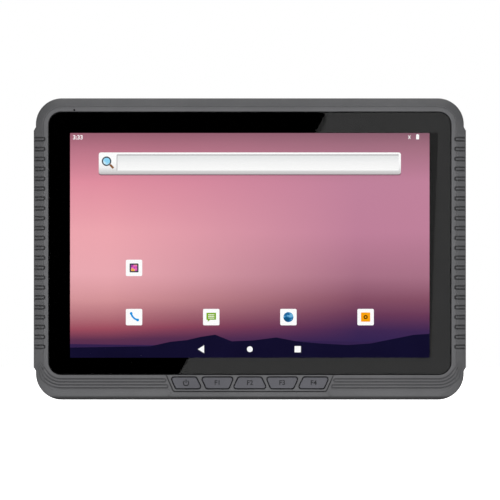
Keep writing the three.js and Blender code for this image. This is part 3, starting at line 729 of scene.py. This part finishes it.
def wallpaper():
    width, height = DISPLAY_HALF
    sky = [(-114, -74.3), (114, -74.3), (114, 74.3), (-114, 74.3)]
    parts = [prism([on_display(x, z) for x, z in sky], SKY_FRONT_Y, -9.5)]
    finished(combined("display_sky", parts), "tablet", "display", replaces=["lcd_panel"])
    far = [(-width, -height), (width, -height), (width, -56.5), (70, -58.2), (30, -57.6), (0, -59.5),
           (-50, -60.3), (-width, -59.6)]
    near = [(-width, -height), (width, -height), (width, -53.4), (99, -54), (86, -56.6), (73, -59.2),
            (59, -60.2), (42, -59.2), (28, -57.9), (16, -55.6), (2, -57.4), (-11, -57.9), (-21, -53.9),
            (-30, -55.3), (-38, -57.2), (-48, -58.2), (-60, -60.9), (-width, -61.7)]
    shape_on_display("display_far_hills", [far], 1, lit_plain("lit_far_hills", "33224c"))
    shape_on_display("display_near_hills", [near], 2, lit_plain("lit_near_hills", "120f2c", 0.1))


ICON_HALF = 4.95
ICON_COLUMN = 23.3
DOCK_Z = -43.3


def square(half, radius):
    return rounded_rect(-half, -half, half, half, radius)


def icon(name, outlines, place, layer, material):
    """Part of an icon, drawn round its own middle and moved to its tile."""
    shape_on_display(name, [moved(outline, *place) for outline in outlines], layer, material)


def icon_tiles():
    """The white tiles under the icons; returns their middles."""
    places = [(-3 * ICON_COLUMN, -13.6)] + [(column * ICON_COLUMN, DOCK_Z) for column in (-3, -1, 1, 3)]
    tiles = [moved(square(ICON_HALF, 0.8), x, z) for x, z in places]
    shape_on_display("display_icon_tiles", tiles, 3, lit_plain("lit_white", "fdfdfd", 0.01))
    return places


def icons():
    """Five generic icons: a picture, a telephone, a message, a globe and a disc."""
    picture, phone, message, globe, disc = icon_tiles()
    view = square(1.9, 0.2)
    picture_tones = [(0.35, srgb("f0b040")), (0.5, srgb("e560c0")), (0.65, srgb("5a2080"))]
    icon("display_picture_frame", band(square(2.7, 0.5), view), picture, 4, lit_plain("lit_slate", "35414c"))
    icon("display_picture_view", [view], picture, 4, lit("lit_picture", picture_tones, 3.0))
    handset = [stroke(arc(3.2, 3.2, 5.0, 188, 262, 12), 1.1), moved(circle(0, 0, 0.85, 16), -1.75, 2.2),
               moved(circle(0, 0, 0.85, 16), 2.2, -1.75)]
    icon("display_handset", handset, phone, 4, lit_plain("lit_blue", "1492e0"))
    bubble = [(-2.9, -1.6), (-2.1, -1.6), (-2.1, -2.9), (-0.7, -1.6), (2.9, -1.6), (2.9, 2.6), (-2.9, 2.6)]
    icon("display_bubble", [bubble], message, 4, lit_plain("lit_green", "78a812"))
    lines = [rounded_rect(-1.9, z - 0.25, 1.9, z + 0.25, 0.2) for z in (1.4, 0.4, -0.6)]
    icon("display_bubble_lines", lines, message, 5, lit_plain("lit_pale", "eef4dc"))
    globe_tones = [(0.42, srgb("14507c")), (0.5, srgb("1f6fa8")), (0.58, srgb("6fb0d8"))]
    icon("display_globe", [circle(0, 0, 3.05, 40)], globe, 4, lit("lit_globe", globe_tones, 3.2))
    icon("display_disc_tile", [square(2.8, 0.3)], disc, 4, lit_plain("lit_orange", "f8a010"))
    rings = band(circle(0, 0, 1.25), circle(0, 0, 0.55))
    icon("display_disc_ring", rings, disc, 5, lit_plain("lit_brown", "3c2808"))


BAR_LEVELS = (42.8, 56.1)
FIELD_LEVELS = (45.2, 54.6)
LENS_PLACE = (-86.5, 50.8)


def search_bar():
    bar = rounded_rect(-91.2, BAR_LEVELS[0], 91.2, BAR_LEVELS[1], 1.4)
    shape_on_display("display_search_shadow", [moved(bar, 0, -0.5)], 1, lit_plain("lit_shadow", "6c4652"))
    bar_tones = [(0.0, srgb("b9b4b6")), (0.12, srgb("d3d1d1")), (0.3, srgb("efefef")), (0.6, srgb("fdfdfd"))]
    shape_on_display("display_search_bar", [bar], 2, lit("lit_bar", bar_tones, levels=BAR_LEVELS))
    field = rounded_rect(-80.2, FIELD_LEVELS[0], 89.9, FIELD_LEVELS[1], 0.4)
    field_tones = [(0.0, srgb("fbfbfa")), (0.5, srgb("f3f3f3")), (0.95, srgb("e2e4e4"))]
    shape_on_display("display_search_field", [field], 3, lit("lit_field", field_tones, levels=FIELD_LEVELS))
    rules = [rounded_rect(-80.2, 54.3, 89.9, 54.9, 0.1), rounded_rect(-80.4, 45.2, -80.0, 54.7, 0.1)]
    shape_on_display("display_search_rule", rules, 4, lit_plain("lit_rule", "aaa6a9"))
    lens = circle(*LENS_PLACE, 2.1, 28)
    rim = band(circle(*LENS_PLACE, 2.9, 28), lens)
    shape_on_display("display_lens_rim", rim, 4, lit_plain("lit_rim", "4a5058"))
    lens_tones = [(0.4, srgb("8fd4f4")), (0.6, srgb("cdeefc"))]
    shape_on_display("display_lens", [lens], 4, lit("lit_lens", lens_tones, 2.5))
    grip = stroke([(-84.4, 48.7), (-82.4, 46.6)], 1.3)
    shape_on_display("display_lens_grip", [grip], 4, lit_plain("lit_grip", "8a5a34"))


def status_line():
    """The clock and two status signs at the top, and the three navigation signs at the bottom."""
    digits = text_outline("3:33", 3.6, 0.09)
    place = on_display(-103.8, 65.1)
    obj = digits_object("display_clock", digits, place, -10.85)
    finished(obj, "tablet", "display", lit_plain("lit_clock", "f6eef0", 0.01))
    battery = [rounded_rect(100.4, 64.0, 102.2, 66.9, 0.2), rounded_rect(101.0, 66.9, 101.6, 67.2, 0.1)]
    signal = [stroke([(95.6, 64.2), (97.0, 66.4)], 0.35), stroke([(95.6, 66.4), (97.0, 64.2)], 0.35)]
    shape_on_display("display_status_icons", battery + signal, 3, LIT_WHITE)
    triangle = [(-31.4, -62.7), (-27.6, -65.1), (-27.6, -60.3)]
    home = circle(0, -62.7, 1.75, 28)
    recent = rounded_rect(27.0, -64.6, 30.8, -60.8, 0.2)
    shape_on_display("display_navigation", [triangle, home, recent], 3, LIT_WHITE)


def text_outline(text, size, weight=0.0):
    """A text as a flat mesh, centred on its own middle, in millimetres; weight thickens its strokes."""
    curve = bpy.data.curves.new("letters", "FONT")
    curve.offset = weight
    curve.body = text
    curve.size = size
    curve.align_x = "CENTER"
    curve.align_y = "CENTER"
    curve.extrude = 0.01
    curve.resolution_u = 6
    letters = link(bpy.data.objects.new("letters", curve))
    mesh = evaluated(letters)
    bpy.data.objects.remove(letters)
    return mesh


def digits_object(name, mesh, place, y):
    """A text mesh stood up to face the user at a place."""
    for vertex in mesh.vertices:
        flat_x, flat_z, depth = vertex.co
        vertex.co = (flat_x + place[0], y - depth, flat_z + place[1])
    return link(bpy.data.objects.new(name, mesh))


def display():
    wallpaper()
    icons()
    search_bar()
    status_line()


# ------------------------------------------------------------------ keys

def key_cap(name):
    """A key with a crowned edge and its retaining flange."""
    rings = [(-0.3, -9.0), (-0.3, -12.05), (-0.38, -12.22), (-0.55, -12.36), (-0.85, -12.42)]
    sections = [[(x, y, z) for x, z in key_outline(name, grow)] for grow, y in rings]
    flange = prism(key_outline(name, 0.6), -8.3, -7.5)
    stem = prism(key_outline(name, -1.2), -9.2, -8.2)
    obj = combined(f"{name}_cap", [lofted(sections), stem, flange])
    finished(obj, name, "key", replaces=[name], smooth=40)


def key_middle(name):
    return (sum(KEY_EDGES[name]) / 4, (KEY_TOP + KEY_BOTTOM) / 2)


def key_legends():
    """The function keys' letters and the power key's symbol."""
    for number in range(1, 5):
        name = f"f{number}_key"
        letters = text_outline(f"F{number}", 4.0, 0.07)
        obj = digits_object(f"{name}_legend", letters, key_middle(name), -12.43)
        finished(obj, name, "key", LEGEND)
    x, z = key_middle("power_key")
    symbol = [stroke(arc(x, z - 0.1, 1.6, 125, 415, 24), 0.62), stroke([(x, z), (x, z + 2.1)], 0.62)]
    parts = [prism(outline, -12.45, -12.41) for outline in symbol]
    finished(combined("power_key_legend", parts), "power_key", "key", LEGEND)


# ------------------------------------------------------------------ back, door, latches and small pieces

def ribs_on_battery():
    """Raised grip ribs across the battery pack's outer face."""
    return [box((-60, 60), (11.2, 12.0), (z - 0.6, z + 0.6)) for z in (24, 28, 32)]


def back_pieces():
    refined("rear_cover", "tablet", "housing", 0.35, 2)
    refined("battery_pack", "tablet", "battery_case", 0.4, 2, ribs_on_battery())
    for side in ("left", "right"):
        refined(f"battery_latch_{side}", f"battery_latch_{side}", "latch", 0.22)
    refined("port_door", "port_door", "housing", 0.25)
    refined("dock_contact_block", "tablet", "black_plastic", 0.2)


def middle_of(node):
    """A CAD node's middle in X and Z, in millimetres."""
    low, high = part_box(node)
    return (low[0] + high[0]) / 2 / MM, (low[2] + high[2]) / 2 / MM


SCREWS = 8
LOBES = 6


def socket_outline(x, z, steps=36):
    """A six-lobed socket round a middle."""
    outline = []
    for k in range(steps):
        angle = math.tau * k / steps
        radius = 1.25 + 0.22 * math.cos(LOBES * angle)
        outline.append((x + radius * math.cos(angle), z + radius * math.sin(angle)))
    return outline


def case_screws():
    """Pan heads with a six-lobed socket."""
    for i in range(1, SCREWS + 1):
        x, z = middle_of(f"case_screw_{i}")
        rings = [(1.45, -7.2), (1.45, 7.0), (3.0, 7.0), (3.0, 9.0), (2.8, 9.35), (2.3, 9.6)]
        sections = [[(px, y, pz) for px, pz in circle(x, z, radius, 36)] for radius, y in rings]
        sections += [[(px, y, pz) for px, pz in socket_outline(x, z)] for y in (9.6, 8.3)]
        obj = combined(f"case_screw_{i}_torx", [lofted(sections)])
        finished(obj, "tablet", "screw", replaces=[f"case_screw_{i}"])


INSERTS = 4
INSERT_STEPS = 48
THREAD_RINGS = 14
THREAD_PITCH = 0.7


def knurled_circle(x, z, radius, depth):
    """A circle whose every second point lies deeper."""
    outline = []
    for k in range(INSERT_STEPS):
        angle = math.tau * k / INSERT_STEPS
        reach = radius - depth * (k % 2)
        outline.append((x + reach * math.cos(angle), z + reach * math.sin(angle)))
    return outline


def mount_inserts():
    """Brass inserts with a knurled collar and a grooved bore."""
    for i in range(1, INSERTS + 1):
        x, z = middle_of(f"mount_insert_{i}")
        rings = []
        for radius, y, knurl in ((2.85, 7.0, 0.08), (2.9, 9.0, 0.08), (2.9, 12.1, 0.08), (2.7, 12.3, 0.0),
                                 (2.1, 12.3, 0.0)):
            rings.append([(px, y, pz) for px, pz in knurled_circle(x, z, radius, knurl)])
        for turn in range(THREAD_RINGS):
            radius = 1.95 if turn % 2 else 1.7
            depth = 12.05 - turn * THREAD_PITCH / 2
            rings.append([(px, depth, pz) for px, pz in circle(x, z, radius, INSERT_STEPS)])
        obj = combined(f"mount_insert_{i}_knurled", [lofted(rings, closed=True)])
        finished(obj, "tablet", "brass", replaces=[f"mount_insert_{i}"], smooth=20)


DOCK_PINS = 8
DOCK_PITCH = 3.9


def dock_pins():
    """Eight gilt contact pads on the docking block."""
    for i in range(DOCK_PINS):
        x = (i - (DOCK_PINS - 1) / 2) * DOCK_PITCH
        rings = [(1.1, 9.7), (1.1, 9.9), (0.95, 10.0), (0.55, 9.98), (0.3, 9.9)]
        sections = [[(px, y, pz) for px, pz in circle(x, 7.8, radius, 28)] for radius, y in rings]
        finished(combined(f"dock_pad_{i + 1}", [lofted(sections)]), "tablet", "brass")


def microphone_gauze_and_shade():
    """A near-black dust screen just inside the microphone's hole, whose black also stands in for the shade
    inside the hole: painted shade.
    """
    rings = [(0.62, -11.4), (0.62, -12.15), (0.5, -12.22), (0.25, -12.24)]
    sections = [[(x, y, z) for x, z in circle(*MICROPHONE, radius, 20)] for radius, y in rings]
    # Painted shade: the near-black border ink stands in for the darkness inside the hole.
    finished(combined("microphone_gauze_and_shade", [lofted(sections)]), "tablet", "black_plastic", INK)


SPRING_X = 52
SPRING_Y = 6.1
SPRING_Z = (104.5, 113.4)
SPRING_RADIUS = 1.1
SPRING_WIRE = 0.22
SPRING_TURNS = 6
SPRING_STEPS = 120


def coil_curve(name, x):
    """A coil spring that stands on Z, in metres."""
    curve = bpy.data.curves.new(name, "CURVE")
    curve.dimensions = "3D"
    curve.bevel_depth = SPRING_WIRE * MM
    curve.bevel_resolution = 3
    spline = curve.splines.new("POLY")
    spline.points.add(SPRING_STEPS)
    low, high = SPRING_Z
    for k in range(SPRING_STEPS + 1):
        angle = math.tau * SPRING_TURNS * k / SPRING_STEPS
        point = (x + SPRING_RADIUS * math.cos(angle), SPRING_Y + SPRING_RADIUS * math.sin(angle),
                 low + (high - low) * k / SPRING_STEPS)
        spline.points[k].co = (*(c * MM for c in point), 1)
    return curve


def latch_springs():
    """A coil for each latch, made at one fixed length; it rides the tablet and does not shorten with the
    latch.
    """
    for side, name in ((-1, "left"), (1, "right")):
        coil_name = f"latch_spring_{name}_coil"
        coil = link(bpy.data.objects.new(coil_name, coil_curve(coil_name, side * SPRING_X)))
        mesh = evaluated(coil)
        bpy.data.objects.remove(coil)
        obj = link(bpy.data.objects.new(coil_name, mesh))
        dressed(obj, "tablet", "steel", replaces=[f"latch_spring_{name}"])
        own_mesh(obj)


def other_nodes():
    """Every CAD node that stays gets its slot's finish."""
    slots = {piece["node"]: piece["material_slot"] for piece in frame["record"]["subparts"]}
    for node, obj in frame["nodes"].items():
        if obj.hide_render:
            continue
        finish = FINISHES["black_plastic"] if slots[node] == "display" else FINISHES[slots[node]]
        if not obj.data.materials:
            obj.data.materials.append(finish)
        for holder in obj.material_slots:
            holder.material = finish


# ------------------------------------------------------------------ stage, light and camera

VIEW_DISTANCE = 6.0
VIEW_WIDTH = 0.3018
AXIS_X = 0.0001
AXIS_Z = MID_Z * MM - 0.0006


def camera():
    data = bpy.data.cameras.new("camera")
    data.sensor_width = 36
    data.lens = data.sensor_width * VIEW_DISTANCE / VIEW_WIDTH
    obj = link(bpy.data.objects.new("camera", data))
    obj.location = (AXIS_X, FRONT_Y * MM - VIEW_DISTANCE, AXIS_Z)
    obj.rotation_euler = (math.radians(90), 0, 0)
    SCENE.camera = obj


def stage_plane(name, corners, grey, emission=0.0):
    return stage_mesh(name, corners, [list(range(len(corners)))], grey, emission)


def stage_mesh(name, verts, faces, grey, emission=0.0):
    """A plain grey sheet of the studio, in metres, which may glow."""
    mesh = bpy.data.meshes.new(name)
    mesh.from_pydata(verts, [], faces)
    obj = link(bpy.data.objects.new(name, mesh))
    paint = Paint(name)
    paint.set(Base_Color=paint.ramp(paint.noise(400, 2), tones((grey,) * 3, 0.01)), Roughness=0.85)
    paint.set(Specular_IOR_Level=0.0, Emission_Color=(1, 1, 1, 1), Emission_Strength=emission)
    mesh.materials.append(paint.material)
    return obj


def area_light(name, location, target, size, watts):
    data = bpy.data.lights.new(name, "AREA")
    data.shape = "RECTANGLE"
    data.size, data.size_y = size
    data.energy = watts
    obj = link(bpy.data.objects.new(name, data))
    obj.location = location
    direction = Vector(target) - Vector(location)
    obj.rotation_euler = direction.to_track_quat("-Z", "Y").to_euler()
    return obj


CARD_Y = -2.6
CARD_REACH = 0.45
CARD_GLOW = 0.45
UNLIT = 0.0005  # the grey of a sheet that returns no light
CARD_DIAGONAL = [(-42.8, -75.6), (45.8, 82.6)]  # on the glass, from the camera's axis


def light_card():
    """A light card that the glass mirrors beside a slanting edge, cut away where the display lies."""
    scale = 1 - CARD_Y / VIEW_DISTANCE
    (x0, z0), (x1, z1) = [(x * scale * MM, z * scale * MM) for x, z in CARD_DIAGONAL]
    width, height = [size * scale * MM for size in DISPLAY_HALF]
    middle = (DISPLAY_Z * MM - AXIS_Z) * scale

    def strip(low, high, cut=None):
        lefts = [x0 + (z - z0) * (x1 - x0) / (z1 - z0) if cut is None else cut for z in (low, high)]
        return [(lefts[0], low), (CARD_REACH, low), (CARD_REACH, high), (lefts[1], high)]

    strips = [strip(middle + height, CARD_REACH), strip(middle - height, middle + height, width),
              strip(-CARD_REACH, middle - height)]
    verts = [(x, CARD_Y, z + AXIS_Z) for quad in strips for x, z in quad]
    faces = [[4 * i + k for k in range(4)] for i in range(len(strips))]
    return stage_mesh("light_card", verts, faces, UNLIT, CARD_GLOW)


STAGE_HALF = 0.9
FLOOR_Y = (-4, 1.6)
FLAG_Z = (-0.6, 0.62)
FLAG_Y = CARD_Y - 0.02


def white_floor():
    """The pale floor, which glows white."""
    near, far = FLOOR_Y
    corners = [(-STAGE_HALF, near, 0), (STAGE_HALF, near, 0), (STAGE_HALF, far, 0), (-STAGE_HALF, far, 0)]
    return stage_plane("floor", corners, 0.8, 1.3)


def dark_flag():
    """The dark sheet that the glass mirrors beside the light card."""
    low, high = FLAG_Z
    corners = [(-STAGE_HALF, FLAG_Y, low), (STAGE_HALF, FLAG_Y, low), (STAGE_HALF, FLAG_Y, high),
               (-STAGE_HALF, FLAG_Y, high)]
    return stage_plane("dark_flag", corners, UNLIT)


def studio():
    """The floor, two softboxes, and the card and flag that only the glass mirrors."""
    floor = white_floor()
    for obj in (dark_flag(), light_card()):
        obj.visible_camera = False
        obj.visible_diffuse = False
        obj.visible_shadow = False
    front = area_light("front_softbox", (0.0, -2.5, 0.85), (0, 0, 0.09), (0.8, 0.8), 82)
    for obj in (floor, front):
        obj.visible_glossy = False
        obj.visible_transmission = False
    area_light("top_softbox", (0.0, 1.2, 2.3), (0, 0.3, 0), (2.4, 1.8), 26)
    white_backdrop()
    SCENE.view_settings.view_transform = "Standard"


def white_backdrop():
    """A world that the camera sees as white and that lights the object only faintly."""
    world = bpy.data.worlds.new("world")
    SCENE.world = world
    world.use_nodes = True
    nodes, links = world.node_tree.nodes, world.node_tree.links
    background = nodes["Background"]
    path = nodes.new("ShaderNodeLightPath")
    mix = nodes.new("ShaderNodeMix")
    mix.data_type = "RGBA"
    links.new(path.outputs["Is Camera Ray"], mix.inputs["Factor"])
    mix.inputs[MIX_FIRST].default_value = (0.06, 0.06, 0.062, 1)
    mix.inputs[MIX_SECOND].default_value = (1, 1, 1, 1)
    links.new(mix.outputs[MIX_RESULT], background.inputs["Color"])


camera()
studio()
front_bezel()
cover_glass()
border_ink()
display()
for key in KEY_EDGES:
    key_cap(key)
key_legends()
back_pieces()
case_screws()
mount_inserts()
dock_pins()
microphone_gauze_and_shade()
latch_springs()
other_nodes()
